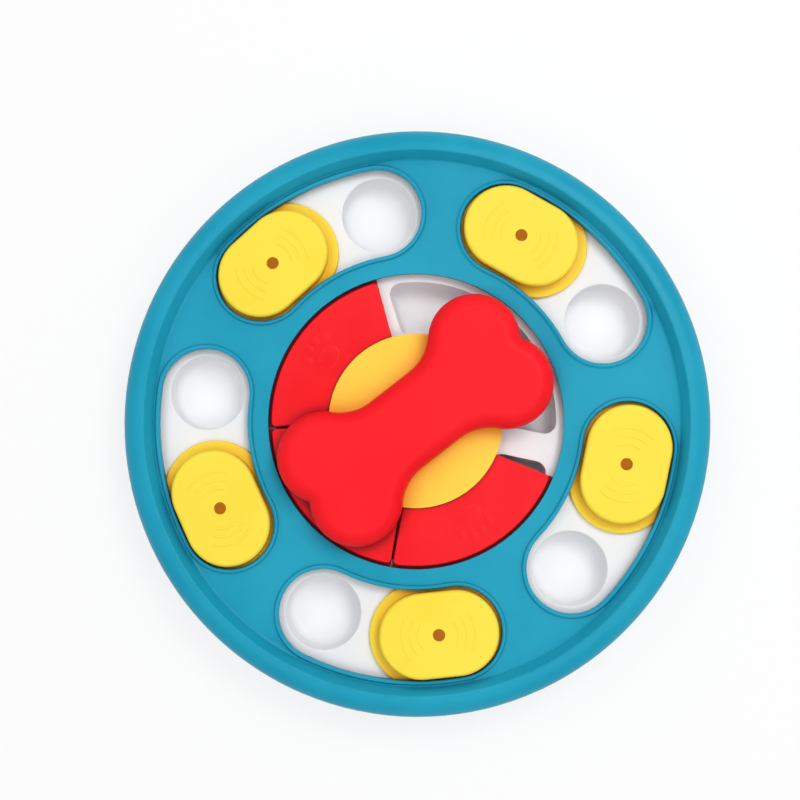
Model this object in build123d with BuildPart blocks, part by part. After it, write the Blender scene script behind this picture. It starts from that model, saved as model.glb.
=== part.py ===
from build123d import *
from math import asin, cos, degrees, radians, sin
import os

# Round dog puzzle feeder.  A turquoise cover lies over a white tray of treat bowls.  Five buttons
# slide in arc slots over the outer bowls, three sector lids slide round over the centre
# compartments, and a bone-shaped handle turns on a yellow dome in the middle.
#
# Frame: millimetres and degrees, +Z up.  The origin is on the floor under the middle of the toy.
# Angles are counted from +X towards +Y.

# ---- Cover ----------------------------------------------------------------------------------
body_radius = 125.0         # outside of the skirt at its widest
skirt_draft = 0.8           # how far the skirt draws in at its lower edge
skirt_bottom = 2.5          # lower edge of the skirt above the floor
rim_top = 33.0              # top of the raised rim
shoulder_radius = 8.5       # round outer shoulder of the rim
rim_land = 1.2              # flat width on top of the rim
rim_slope = 3.5             # how far the rim's inner slope runs inwards
rim_edge_fillet = 1.0       # between the rim's flat top and its inner slope
rim_foot_fillet = 1.6       # between the inner slope and the plate
plate_top = 28.0            # top face of the flat plate
cover_wall = 2.6            # wall of the whole cover
opening_edge = 0.9          # round edge of the centre opening

# ---- Arc slots ------------------------------------------------------------------------------
slot_count = 5
first_slot_angle = 46.7     # middle of the first slot
slot_width = 37.8
slot_outer_land = 2.4       # flat plate between the slots and the foot of the rim
slot_inner_land = 8.7       # flat plate between the slots and the centre opening
slot_sweep = 36.6           # between the centres of a slot's two round ends
bead_width = 1.9            # raised bead round each slot
bead_height = 0.9
bead_fillet = 0.75

# ---- Sliders --------------------------------------------------------------------------------
slider_rest = 13.5          # from the middle of the slot, counter-clockwise
button_gap = 0.9            # between a button and the sides of its slot
button_straight = 14.6      # a button is this much longer than it is wide
button_top = 32.0
button_wall = 2.0
button_edge = 1.6           # round upper edge of the button
flange_reach = 4.2          # how far the flange stands out under the cover
flange_thickness = 2.4
flange_edge = 0.6
flange_clearance = 0.4      # between the flange and the underside of the cover
scent_hole_radius = 2.6
ripple_radii = (8.5, 12.0, 15.5)  # raised arcs on both sides of the scent hole
ripple_sweep = 76.0
ripple_width = 1.3
ripple_height = 0.2

# ---- Tray -----------------------------------------------------------------------------------
tray_gap = 0.4              # between the tray and the skirt
tray_wall = 2.0
bowl_inset = 3.0            # from the side of a slot to the mouth of a bowl
bowl_spread = 18.6          # each bowl's angle from the middle of its slot
bowl_depth = 14.4
bowl_draft = 3.4
bowl_fillet = 3.5           # round bottom corner of a bowl
bowl_lip = 0.8              # round mouth edge of a bowl
panel_joint = 31.4          # each deck panel's end, from the middle of its slot
compartment_count = 3
compartment_hub_land = 4.2  # deck between the hub wall and a compartment
compartment_inset = 1.7     # from the outer edge of the lids to a compartment
compartment_corner = 5.0
compartment_draft = 6.0
compartment_fillet = 3.0
first_land_angle = 108.0    # middle of the first land between two compartments
land_width = 12.0           # width of a land between two compartments

# ---- Hub, lids and dome ---------------------------------------------------------------------
hub_radius = 32.2           # outside of the hub wall, which guides the lids
hub_floor_drop = 8.6        # hub floor below the deck
lid_count = 3
middle_lid_angle = 221.6
lid_pitch = 77.6            # angle from one lid to the next
lid_seam = 0.8              # gap between two lids that touch
lid_gap = 1.2               # between a lid's raised body and the centre opening
lid_top = 27.5
lid_wall = 2.0
lid_corner = 2.0
lid_edge = 0.8
lid_flange_reach = 4.7      # how far a lid's flange runs under the cover
lid_clearance = 0.3         # between a lid and the hub wall
paw_height = 0.25           # raised paw print on a lid
paw_lid_width = 29.2        # width of the lid that the print's sizes below are given for
paw_pad = (4.2, 5.6)        # half lengths of the main pad, outwards and across
paw_pad_inset = 13.5        # middle of the main pad from the lid's inner edge
paw_toe = (2.5, 1.9)        # half lengths of a toe
paw_toe_insets = ((19.7, 6.4), (22.5, 2.2))  # toes from the inner edge and to either side
dome_overlap = 4.8          # how far the dome's brim reaches over the lids
dome_clearance = 0.3        # between the dome's brim and the lids
dome_brim = 1.0
dome_rise = 3.4
dome_wall = 2.2
dome_bore_clearance = 0.6   # between the bone's stem and the hole in the dome

# ---- Bone handle ----------------------------------------------------------------------------
bone_angle = 37.9
bone_opening = 62.9         # radius of the centre opening that the outline below is given for
bone_lobe_radius = 19.4
bone_lobe_along = 40.1      # lobe centres from the pivot, along the bone
bone_lobe_across = 11.3
bone_waist_width = 35.0
bone_waist_fillet = 21.0    # hollow round between waist and lobe
bone_notch_fillet = 2.0     # in the notch between two lobes
bone_height = 16.0
bone_edge = 7.0             # soft round upper edge
bone_wall = 2.6
bone_clearance = 0.3        # between the bone and what it turns over
bone_rib = 2.4              # stiffening rib inside the bone
boss_radius = 8.0
stem_radius = 5.0
stem_clearance = 0.05       # running fit of the stem in the tray's bearing tube
bearing_wall = 3.0
bearing_bottom = 9.0
stem_end_play = 0.2

# ---- Fasteners and feet ---------------------------------------------------------------------
screw_radius = 1.5
screw_head_radius = 2.9
screw_head_height = 2.0
screw_length = 10.0
screw_clearance = 0.2       # round the shank in a clearance hole
recess_span = 3.2           # cross recess in a screw head
recess_width = 0.7
recess_depth = 1.0
washer_radius = 7.5
washer_thickness = 1.2
dome_screw_count = 3
dome_screw_radius = 20.0    # circle of the dome's screws
screw_boss_radius = 3.6     # boss that takes a screw, in the cover and in the dome
cover_boss_inset = 4.8      # from the foot of the rim to the circle of the cover's bosses
cover_boss_foot = 13.0      # lower end of the cover's bosses
boss_gap = 0.4              # between a cover boss and the tray
foot_radius = 8.5
foot_pad = 2.0
foot_edge = 0.6
plug_radius = 6.5           # part of a foot inside its pillar
plug_length = 4.0
nearness = 0.01             # how near to a height an edge lies to be picked at it

# ---- Derived sizes and places ---------------------------------------------------------------
rim_foot_radius = body_radius - shoulder_radius - rim_land - rim_slope
slot_radius = rim_foot_radius - slot_outer_land - slot_width / 2
opening_radius = slot_radius - slot_width / 2 - slot_inner_land
cover_boss_circle = rim_foot_radius - cover_boss_inset
button_width = slot_width - 2 * button_gap
button_length = button_width + button_straight
bowl_radius = slot_width / 2 - bowl_inset
lid_radius = opening_radius - lid_gap
lid_inner_radius = hub_radius + lid_clearance
paw_scale = (lid_radius - lid_inner_radius) / paw_lid_width
compartment_inner_radius = hub_radius + compartment_hub_land
compartment_outer_radius = lid_radius - compartment_inset
panel_radius = (compartment_outer_radius + slot_radius - bowl_radius) / 2
dome_radius = hub_radius + dome_overlap
dome_hollow_radius = hub_radius - tray_wall
bone_scale = opening_radius / bone_opening
plate_underside = plate_top - cover_wall
flange_top = plate_underside - flange_clearance
deck_top = flange_top - flange_thickness
deck_underside = deck_top - tray_wall
tray_radius = body_radius - skirt_draft - cover_wall - tray_gap
slot_step = 360.0 / slot_count
hub_floor_top = deck_top - hub_floor_drop
hub_floor_underside = hub_floor_top - tray_wall
dome_seat = lid_top + dome_clearance
dome_edge_top = dome_seat + dome_brim
dome_crown = dome_edge_top + dome_rise
bone_bottom = lid_top + paw_height + bone_clearance
bone_top = bone_bottom + bone_height
stem_bottom = bearing_bottom - stem_end_play
cover_post_floor = cover_boss_foot - tray_wall


def turned(angle, height):
    """A level plane at a height above the floor, with its local X pointing outwards at an angle."""
    outwards = (cos(radians(angle)), sin(radians(angle)), 0)
    return Plane(origin=(0, 0, height), x_dir=outwards, z_dir=(0, 0, 1))


def sector_face(inner_radius, outer_radius, half_angle, side_inset, corner):
    """A ring sector about local X, its straight sides drawn in evenly, with round corners."""
    inner_half = half_angle - degrees(asin(side_inset / inner_radius))
    outer_half = half_angle - degrees(asin(side_inset / outer_radius))
    with BuildSketch() as sector:
        with BuildLine():
            outer = CenterArc((0, 0), outer_radius, -outer_half, 2 * outer_half)
            inner = CenterArc((0, 0), inner_radius, -inner_half, 2 * inner_half)
            Line(outer @ 0, inner @ 0)
            Line(outer @ 1, inner @ 1)
        make_face()
        fillet(sector.vertices(), corner)
    return sector.sketch


def pie_face(radius, start, sweep):
    """A slice of a disc that starts at an angle from local X."""
    with BuildSketch() as pie:
        with BuildLine():
            crust = CenterArc((0, 0), radius, start, sweep)
            Line((0, 0), crust @ 0)
            Line((0, 0), crust @ 1)
        make_face()
    return pie.sketch


def save(part, name):
    """Label a finished piece and write its STEP file."""
    part.label = name
    export_step(part, f"parts/{name}.step")


os.makedirs("parts", exist_ok=True)

# ---- Patterns that several pieces share -----------------------------------------------------
slot_angles = [first_slot_angle + slot_step * index for index in range(slot_count)]
boss_places = PolarLocations(cover_boss_circle, slot_count, first_slot_angle + slot_step / 2)
foot_places = PolarLocations(slot_radius, slot_count, first_slot_angle)
dome_screw_places = PolarLocations(dome_screw_radius, dome_screw_count, first_land_angle)

# ---- Top cover ------------------------------------------------------------------------------
slot_arcs = [
    CenterArc((0, 0), slot_radius, angle - slot_sweep / 2, slot_sweep) for angle in slot_angles
]

with BuildPart() as top_cover:
    with BuildSketch(Plane.XZ):
        with BuildLine() as skin:
            shoulder_start = (body_radius, rim_top - shoulder_radius)
            shoulder_end = (body_radius - shoulder_radius, rim_top)
            skirt = Line((body_radius - skirt_draft, skirt_bottom), shoulder_start)
            shoulder = CenterArc((shoulder_end[0], shoulder_start[1]), shoulder_radius, 0, 90)
            rim = FilletPolyline(
                shoulder_end,
                (shoulder_end[0] - rim_land, rim_top),
                (rim_foot_radius, plate_top),
                (opening_radius, plate_top),
                radius=(rim_edge_fillet, rim_foot_fillet),
            )
            offset(amount=cover_wall, side=Side.LEFT)
        make_face()
    revolve(axis=Axis.Z)
    # Raised bead round each slot, then the slot itself.
    with BuildSketch(Plane.XY.offset(plate_top)) as bead_outline:
        for arc in slot_arcs:
            SlotArc(arc, slot_width + 2 * bead_width)
    extrude(amount=bead_height)
    with BuildSketch(Plane.XY.offset(plate_underside)):
        for arc in slot_arcs:
            SlotArc(arc, slot_width)
    extrude(amount=cover_wall + bead_height, mode=Mode.SUBTRACT)
    bead_top = plate_top + bead_height
    bead_faces = top_cover.faces().filter_by(Axis.Z).filter_by_position(
        Axis.Z, bead_top - nearness, bead_top + nearness
    )
    fillet(bead_faces.edges(), bead_fillet)
    opening_top = top_cover.edges().filter_by(GeomType.CIRCLE).filter_by_position(
        Axis.Z, plate_top - nearness, plate_top + nearness
    )
    fillet(opening_top.sort_by(SortBy.RADIUS)[0], opening_edge)
    # Screw bosses between the slots.
    with BuildSketch(Plane.XY.offset(cover_boss_foot)):
        with boss_places:
            Circle(screw_boss_radius)
    extrude(amount=plate_underside - cover_boss_foot)
    with BuildSketch(Plane.XY.offset(cover_boss_foot)):
        with boss_places:
            Circle(screw_radius)
    extrude(amount=screw_length - tray_wall, mode=Mode.SUBTRACT)
save(top_cover.part, "top_cover")

# ---- Bowls and centre compartments ----------------------------------------------------------
# The tray's deck is open where they stand in it; their top faces are flush with the deck.
land_step = 360.0 / compartment_count
compartment_angles = [
    first_land_angle + land_step * (index + 0.5) for index in range(compartment_count)
]

# A bowl's outside and inside, about the origin, with its mouth at deck height.
bowl_forms = []
for skin_width in (tray_wall, 0.0):
    with BuildPart() as bowl_form:
        with BuildSketch(Plane.XY.offset(deck_top)):
            Circle(bowl_radius + skin_width)
        extrude(amount=-(bowl_depth + skin_width), taper=bowl_draft)
        fillet(bowl_form.edges().sort_by(Axis.Z)[0], bowl_fillet + skin_width)
    bowl_forms.append(bowl_form.part)

# A centre compartment's outside and inside, about +X.
compartment_forms = []
for skin_width in (tray_wall, 0.0):
    with BuildPart() as compartment_form:
        with BuildSketch(Plane.XY.offset(deck_top)):
            add(
                sector_face(
                    compartment_inner_radius - skin_width,
                    compartment_outer_radius + skin_width,
                    land_step / 2,
                    land_width / 2 - skin_width,
                    compartment_corner + skin_width,
                )
            )
        extrude(amount=-(bowl_depth + skin_width), taper=compartment_draft)
        fillet(
            compartment_form.faces().sort_by(Axis.Z)[0].edges(),
            compartment_fillet + skin_width,
        )
    compartment_forms.append(compartment_form.part)

with BuildPart() as bowl:
    add(bowl_forms[0])
    add(bowl_forms[1], mode=Mode.SUBTRACT)
    mouth = bowl.edges().group_by(Axis.Z)[-1].sort_by(SortBy.RADIUS)[0]
    fillet(mouth, bowl_lip)

bowl_places = []
for index, slot_angle in enumerate(slot_angles, start=1):
    bowl_angles = (slot_angle - bowl_spread, slot_angle + bowl_spread)
    pair_places = [turned(angle, 0) * Pos(slot_radius, 0) for angle in bowl_angles]
    bowl_places += pair_places
    with BuildPart() as bowl_pair:
        with Locations(*pair_places):
            add(bowl.part)
    save(bowl_pair.part, f"bowls_{index}")

with BuildPart() as centre_bowls:
    for angle in compartment_angles:
        add(compartment_forms[0], rotation=(0, 0, angle))
        add(compartment_forms[1], rotation=(0, 0, angle), mode=Mode.SUBTRACT)
save(centre_bowls.part, "centre_bowls")

# ---- Tray -----------------------------------------------------------------------------------
# One moulding with the bowls above, saved as simple pieces that meet face to face: the outer
# wall, five deck panels with their posts, three frames round the compartments, and the hub.
with BuildPart() as tray_rim:
    with BuildSketch(Plane.XY.offset(skirt_bottom)):
        Circle(tray_radius)
        Circle(tray_radius - tray_wall, mode=Mode.SUBTRACT)
    extrude(amount=deck_underside - skirt_bottom)
save(tray_rim.part, "tray_rim")

with BuildPart() as outer_deck:
    with BuildSketch(Plane.XY.offset(deck_underside)):
        Circle(tray_radius)
        Circle(panel_radius, mode=Mode.SUBTRACT)
    extrude(amount=tray_wall)
    # Cups that receive the cover's screw bosses, and open pillars for the feet.
    with BuildSketch(Plane.XY.offset(cover_post_floor)):
        with boss_places:
            Circle(screw_boss_radius + boss_gap + tray_wall)
    extrude(amount=deck_top - cover_post_floor)
    with BuildSketch(Plane.XY.offset(foot_pad)):
        with foot_places:
            Circle(foot_radius)
            Circle(plug_radius, mode=Mode.SUBTRACT)
    extrude(amount=deck_underside - foot_pad)
    # Room for the bowls, then the cups and their screw holes.
    with Locations(*bowl_places):
        add(bowl_forms[0], mode=Mode.SUBTRACT)
    with BuildSketch(Plane.XY.offset(cover_boss_foot)):
        with boss_places:
            Circle(screw_boss_radius + boss_gap)
    extrude(amount=deck_top - cover_boss_foot, mode=Mode.SUBTRACT)
    with BuildSketch(Plane.XY.offset(cover_post_floor)):
        with boss_places:
            Circle(screw_radius + screw_clearance)
    extrude(amount=tray_wall, mode=Mode.SUBTRACT)

for index, slot_angle in enumerate(slot_angles, start=1):
    with BuildPart() as deck_panel:
        add(outer_deck.part)
        with BuildSketch(turned(slot_angle, 0)):
            add(pie_face(body_radius, panel_joint - slot_step, slot_step))
        extrude(amount=deck_top, mode=Mode.INTERSECT)
    save(deck_panel.part, f"tray_deck_{index}")

for index, angle in enumerate(compartment_angles, start=1):
    with BuildPart() as centre_frame:
        with BuildSketch(turned(angle, deck_underside)):
            add(pie_face(panel_radius, -land_step / 2, land_step))
            Circle(hub_radius, mode=Mode.SUBTRACT)
        extrude(amount=tray_wall)
        add(compartment_forms[0], rotation=(0, 0, angle), mode=Mode.SUBTRACT)
    save(centre_frame.part, f"tray_centre_{index}")

with BuildPart() as tray_hub:
    # Hub wall, hub floor and the bearing tube for the bone's stem.
    with BuildSketch(Plane.XY.offset(hub_floor_underside)):
        Circle(hub_radius)
    extrude(amount=dome_seat - hub_floor_underside)
    with BuildSketch(Plane.XY.offset(hub_floor_top)):
        Circle(hub_radius - tray_wall)
    extrude(amount=dome_seat - hub_floor_top, mode=Mode.SUBTRACT)
    with BuildSketch(Plane.XY.offset(bearing_bottom)):
        Circle(stem_radius + stem_clearance + bearing_wall)
    extrude(amount=dome_seat - bearing_bottom)
    with BuildSketch(Plane.XY.offset(hub_floor_underside)):
        with dome_screw_places:
            Circle(screw_radius + screw_clearance)
    extrude(amount=tray_wall, mode=Mode.SUBTRACT)
    with BuildSketch(Plane.XY.offset(bearing_bottom)):
        Circle(stem_radius + stem_clearance)
    extrude(amount=dome_seat - bearing_bottom, mode=Mode.SUBTRACT)
save(tray_hub.part, "tray_hub")

# ---- Sliders --------------------------------------------------------------------------------
for index, slot_angle in enumerate(slot_angles, start=1):
    heading = slot_angle + slider_rest
    with BuildPart() as slider:
        with BuildSketch(turned(heading, deck_top)):
            with Locations((slot_radius, 0)):
                SlotOverall(button_length + 2 * flange_reach, button_width + 2 * flange_reach, 90)
        extrude(amount=flange_thickness)
        fillet(slider.faces().sort_by(Axis.Z)[-1].edges(), flange_edge)
        with BuildSketch(turned(heading, deck_top)):
            with Locations((slot_radius, 0)):
                SlotOverall(button_length, button_width, 90)
        extrude(amount=button_top - deck_top)
        fillet(slider.faces().sort_by(Axis.Z)[-1].edges(), button_edge)
        # Hollow underneath.
        with BuildSketch(turned(heading, deck_top)):
            with Locations((slot_radius, 0)):
                SlotOverall(button_length - 2 * button_wall, button_width - 2 * button_wall, 90)
        extrude(amount=button_top - button_wall - deck_top, mode=Mode.SUBTRACT)
        # Raised ripples on both sides of the scent hole.
        ripples = [
            CenterArc((slot_radius, 0), radius, side * 90 - ripple_sweep / 2, ripple_sweep)
            for radius in ripple_radii
            for side in (-1, 1)
        ]
        with BuildSketch(turned(heading, button_top)):
            for ripple in ripples:
                SlotArc(ripple, ripple_width)
        extrude(amount=ripple_height)
        with BuildSketch(turned(heading, deck_top)):
            with Locations((slot_radius, 0)):
                Circle(scent_hole_radius)
        extrude(amount=button_top - deck_top, mode=Mode.SUBTRACT)
    save(slider.part, f"slider_{index}")

# ---- Sector lids ----------------------------------------------------------------------------
lid_half = lid_pitch / 2
lid_angles = [middle_lid_angle + lid_pitch * (index - 1) for index in range(lid_count)]

for index, heading in enumerate(lid_angles, start=1):
    with BuildPart() as lid:
        with BuildSketch(turned(heading, deck_top)):
            add(
                sector_face(
                    lid_inner_radius, lid_radius + lid_flange_reach, lid_half, lid_seam / 2, lid_corner
                )
            )
        extrude(amount=flange_thickness)
        with BuildSketch(turned(heading, deck_top)):
            add(sector_face(lid_inner_radius, lid_radius, lid_half, lid_seam / 2, lid_corner))
        extrude(amount=lid_top - deck_top)
        fillet(lid.faces().sort_by(Axis.Z)[-1].edges(), lid_edge)
        # Hollow underneath.
        with BuildSketch(turned(heading, deck_top)):
            add(
                sector_face(
                    lid_inner_radius + lid_wall,
                    lid_radius - lid_wall,
                    lid_half,
                    lid_seam / 2 + lid_wall,
                    lid_corner,
                )
            )
        extrude(amount=lid_top - lid_wall - deck_top, mode=Mode.SUBTRACT)
        # Raised paw print: one main pad and four toes.
        with BuildSketch(turned(heading, lid_top)):
            with Locations((lid_inner_radius + paw_scale * paw_pad_inset, 0)):
                Ellipse(paw_scale * paw_pad[0], paw_scale * paw_pad[1])
            for toe_inset, toe_side in paw_toe_insets:
                with Locations((lid_inner_radius + paw_scale * toe_inset, 0)):
                    with GridLocations(0, 2 * paw_scale * toe_side, 1, 2):
                        Ellipse(paw_scale * paw_toe[0], paw_scale * paw_toe[1])
        extrude(amount=paw_height)
    save(lid.part, f"lid_{index}")

# ---- Hub dome -------------------------------------------------------------------------------
# Everything open under the cap, down to the hub floor, but for the screw bosses.
with BuildPart() as dome_hollow:
    with BuildSketch(Plane.XZ):
        with BuildLine():
            TangentArc((0, dome_crown - dome_wall), (dome_hollow_radius, dome_seat), tangent=(1, 0))
            Polyline(
                (dome_hollow_radius, dome_seat),
                (dome_radius + dome_overlap, dome_seat),
                (dome_radius + dome_overlap, hub_floor_top),
                (0, hub_floor_top),
                (0, dome_crown - dome_wall),
            )
        make_face()
    revolve(axis=Axis.Z)
    with BuildSketch(Plane.XY.offset(hub_floor_top)):
        with dome_screw_places:
            Circle(screw_boss_radius)
    extrude(amount=dome_crown - hub_floor_top, mode=Mode.SUBTRACT)

with BuildPart() as hub_dome:
    with BuildSketch(Plane.XZ):
        with BuildLine():
            TangentArc((0, dome_crown), (dome_radius, dome_edge_top), tangent=(1, 0))
            Polyline(
                (dome_radius, dome_edge_top),
                (dome_radius, hub_floor_top),
                (0, hub_floor_top),
                (0, dome_crown),
            )
        make_face()
    revolve(axis=Axis.Z)
    add(dome_hollow.part, mode=Mode.SUBTRACT)
    with BuildSketch(Plane.XY.offset(hub_floor_top)):
        with dome_screw_places:
            Circle(screw_radius)
    extrude(amount=screw_length - tray_wall, mode=Mode.SUBTRACT)
    with BuildSketch(Plane.XY.offset(hub_floor_top)):
        Circle(stem_radius + dome_bore_clearance)
    extrude(amount=dome_crown - hub_floor_top, mode=Mode.SUBTRACT)
save(hub_dome.part, "hub_dome")


# ---- Bone handle ----------------------------------------------------------------------------
def bone_outline(inset):
    """The bone's outline along local X, drawn in by an inset: a waist between two pairs of lobes."""
    length = 2 * bone_scale * bone_lobe_along
    with BuildSketch() as outline:
        Rectangle(length, bone_scale * bone_waist_width - 2 * inset)
        with GridLocations(length, 2 * bone_scale * bone_lobe_across, 2, 2):
            Circle(bone_scale * bone_lobe_radius - inset)
        corners = outline.vertices()
        notches = corners.sort_by(lambda corner: abs(corner.Y))[:2]
        shoulders = [corner for corner in corners if corner not in notches]
        fillet(shoulders, bone_scale * bone_waist_fillet + inset)
        notches = outline.vertices().sort_by(lambda corner: abs(corner.Y))[:2]
        fillet(notches, bone_notch_fillet + inset)
    return outline.sketch


# The bone is open underneath; its walls run down beside the dome and stay clear of it.
with BuildPart() as bone_form:
    with BuildSketch(turned(bone_angle, bone_bottom)):
        add(bone_outline(0))
    extrude(amount=bone_height)
    fillet(bone_form.faces().sort_by(Axis.Z)[-1].edges(), bone_edge)

with BuildPart() as bone_hollow:
    with BuildSketch(turned(bone_angle, bone_bottom)):
        add(bone_outline(bone_wall))
    extrude(amount=bone_height - bone_wall)
    fillet(bone_hollow.faces().sort_by(Axis.Z)[-1].edges(), bone_edge - bone_wall)

with BuildPart() as dome_room:
    with BuildSketch(Plane.XZ):
        with BuildLine():
            crown = (0, dome_crown + bone_clearance)
            brim = (dome_radius + bone_clearance, dome_edge_top + bone_clearance)
            TangentArc(crown, brim, tangent=(1, 0))
            Polyline(brim, (brim[0], dome_seat), (0, dome_seat), crown)
        make_face()
    revolve(axis=Axis.Z)

with BuildPart() as bone_handle:
    add(bone_form.part)
    add(bone_hollow.part, mode=Mode.SUBTRACT)
    # Boss and stiffening rib that carry the stem.
    with BuildSketch(turned(bone_angle, bone_bottom)):
        Circle(boss_radius)
        Rectangle(2 * bone_scale * bone_lobe_along, bone_rib)
    extrude(amount=bone_height - bone_wall / 2)
    add(dome_room.part, mode=Mode.SUBTRACT)
    with BuildSketch(Plane.XY.offset(stem_bottom)):
        Circle(stem_radius)
    extrude(amount=bone_top - bone_wall - stem_bottom)
    with BuildSketch(Plane.XY.offset(stem_bottom)):
        Circle(screw_radius)
    extrude(amount=screw_length - washer_thickness, mode=Mode.SUBTRACT)
save(bone_handle.part, "bone_handle")


# ---- Fasteners ------------------------------------------------------------------------------
def make_screws(name, seat, places):
    """Pan-head screws with a cross recess, driven upwards, with their heads against a seat."""
    head_bottom = seat - screw_head_height
    with BuildPart() as screws:
        with BuildSketch(Plane.XY.offset(head_bottom)):
            with places:
                Circle(screw_head_radius)
        extrude(amount=screw_head_height)
        fillet(screws.edges().group_by(Axis.Z)[0], screw_head_height / 2)
        with BuildSketch(Plane.XY.offset(seat)):
            with places:
                Circle(screw_radius)
        extrude(amount=screw_length)
        with BuildSketch(Plane.XY.offset(head_bottom)):
            with places:
                Rectangle(recess_span, recess_width)
                Rectangle(recess_width, recess_span)
        extrude(amount=recess_depth, mode=Mode.SUBTRACT)
    save(screws.part, name)


make_screws("cover_screws", cover_post_floor, boss_places)
make_screws("hub_screws", hub_floor_underside, dome_screw_places)
make_screws("pivot_screw", stem_bottom - washer_thickness, Locations((0, 0)))

with BuildPart() as pivot_washer:
    with BuildSketch(Plane.XY.offset(stem_bottom - washer_thickness)):
        Circle(washer_radius)
        Circle(screw_radius + screw_clearance / 2, mode=Mode.SUBTRACT)
    extrude(amount=washer_thickness)
save(pivot_washer.part, "pivot_washer")

# ---- Feet -----------------------------------------------------------------------------------
for index, foot_angle in enumerate(slot_angles, start=1):
    with BuildPart() as foot:
        with BuildSketch(turned(foot_angle, 0)):
            with Locations((slot_radius, 0)):
                Circle(foot_radius)
        extrude(amount=foot_pad)
        fillet(foot.edges().group_by(Axis.Z)[0], foot_edge)
        with BuildSketch(turned(foot_angle, foot_pad)):
            with Locations((slot_radius, 0)):
                Circle(plug_radius)
        extrude(amount=plug_length)
    save(foot.part, f"foot_{index}")
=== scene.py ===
import logging
from dataclasses import dataclass, field
from enum import Enum
from math import cos, pi, radians, sin
from typing import Optional, Sequence, Union

import bmesh
import bpy
from mathutils import Matrix, Vector


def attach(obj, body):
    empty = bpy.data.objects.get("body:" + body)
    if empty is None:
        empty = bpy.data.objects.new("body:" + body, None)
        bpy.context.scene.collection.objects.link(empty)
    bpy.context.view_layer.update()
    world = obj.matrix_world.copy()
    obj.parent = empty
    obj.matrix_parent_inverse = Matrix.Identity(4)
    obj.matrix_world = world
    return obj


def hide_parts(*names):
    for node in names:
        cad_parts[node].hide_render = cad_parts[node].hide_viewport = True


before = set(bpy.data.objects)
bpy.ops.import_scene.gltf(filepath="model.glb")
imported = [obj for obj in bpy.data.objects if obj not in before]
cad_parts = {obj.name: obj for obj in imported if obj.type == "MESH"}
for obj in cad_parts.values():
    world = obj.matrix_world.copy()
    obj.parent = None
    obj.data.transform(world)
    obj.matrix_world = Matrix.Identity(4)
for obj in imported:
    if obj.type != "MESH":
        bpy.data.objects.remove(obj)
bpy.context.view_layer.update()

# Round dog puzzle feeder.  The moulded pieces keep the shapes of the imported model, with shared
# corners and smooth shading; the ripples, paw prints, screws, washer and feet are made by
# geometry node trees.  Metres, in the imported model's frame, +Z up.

log = logging.getLogger("puzzle_feeder")

MM = 0.001

SLOT_COUNT = 5
SLOT_STEP = 360.0 / SLOT_COUNT
SLOT_RADIUS = 90.5 * MM
LID_COUNT = 3

# Points nearer than this become one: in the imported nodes, and in the pieces made here.
WELD_REACH = 0.001 * MM
MERGE_REACH = 0.002 * MM
# A point this far above a flat top belongs to its relief.
RELIEF_MARGIN = 0.01 * MM
# Edges of the pieces made here stay sharp where they bend more than this, in degrees.
MADE_SHARP_ABOVE = 38.0
# How much a large face draws the normals round it; 50 is even.
AREA_WEIGHT = 60

Rgb = tuple[int, int, int]
Rgba = tuple[float, float, float, float]
Triple = tuple[float, float, float]
Point = tuple[float, float]
Tree = bpy.types.NodeTree
Node = bpy.types.Node
Socket = bpy.types.NodeSocket
Feed = Union[float, tuple[float, ...], Socket]
Feeds = dict[Union[str, int], Feed]


class Slot(Enum):
    """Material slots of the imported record."""

    COVER = "cover_turquoise"
    TRAY = "tray_white"
    BUTTON = "button_yellow"
    LID = "lid_red"
    DOME = "dome_yellow"
    BONE = "bone_red"
    SCREW = "screw_steel"
    FOOT = "foot_rubber"


class TreeKind(Enum):
    """The two kinds of node tree that are built here."""

    SHADER = "ShaderNodeTree"
    GEOMETRY = "GeometryNodeTree"


class Port(Enum):
    """Socket types of a node group."""

    NUMBER = "NodeSocketFloat"
    COUNT = "NodeSocketInt"
    VECTOR = "NodeSocketVector"
    GEOMETRY = "NodeSocketGeometry"
    MATERIAL = "NodeSocketMaterial"


# ---- Node helpers ---------------------------------------------------------------------------


def linear(colour: Rgb) -> Rgba:
    """Turns a display colour of 0 to 255 into the linear colour that shaders take.

    Args:
        colour: Red, green and blue, 0 to 255, on the usual display curve.

    Returns:
        Linear red, green and blue, and an alpha of 1.
    """
    parts = [value / 255 for value in colour]
    shares = [p / 12.92 if p <= 0.04045 else ((p + 0.055) / 1.055) ** 2.4 for p in parts]
    return (shares[0], shares[1], shares[2], 1.0)


def place_node(tree: Tree, kind: str, feeds: Optional[Feeds] = None, **settings: object) -> Node:
    """Adds a node to a tree, sets its properties and feeds its inputs.

    Args:
        tree: The tree that gets the node.
        kind: Blender's type name of the node.
        feeds: Input name or number to a plain value or to another node's output.
        settings: Properties of the node.

    Returns:
        The new node.
    """
    made = tree.nodes.new(kind)
    for name, value in settings.items():
        setattr(made, name, value)
    for key, value in (feeds or {}).items():
        if isinstance(value, Socket):
            tree.links.new(value, made.inputs[key])
        else:
            made.inputs[key].default_value = value
    return made


def place_group(tree: Tree, group: Tree, feeds: Feeds) -> Node:
    """Adds a node group to a tree of its own kind and feeds its inputs."""
    return place_node(tree, group.bl_idname.replace("Tree", "Group"), feeds, node_tree=group)


def pick(node: Node, sizes: Sequence[tuple]) -> Feeds:
    """Lists a node's outputs as feeds for the inputs of the same names."""
    return {label: node.outputs[label] for label, *_ in sizes}


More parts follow.
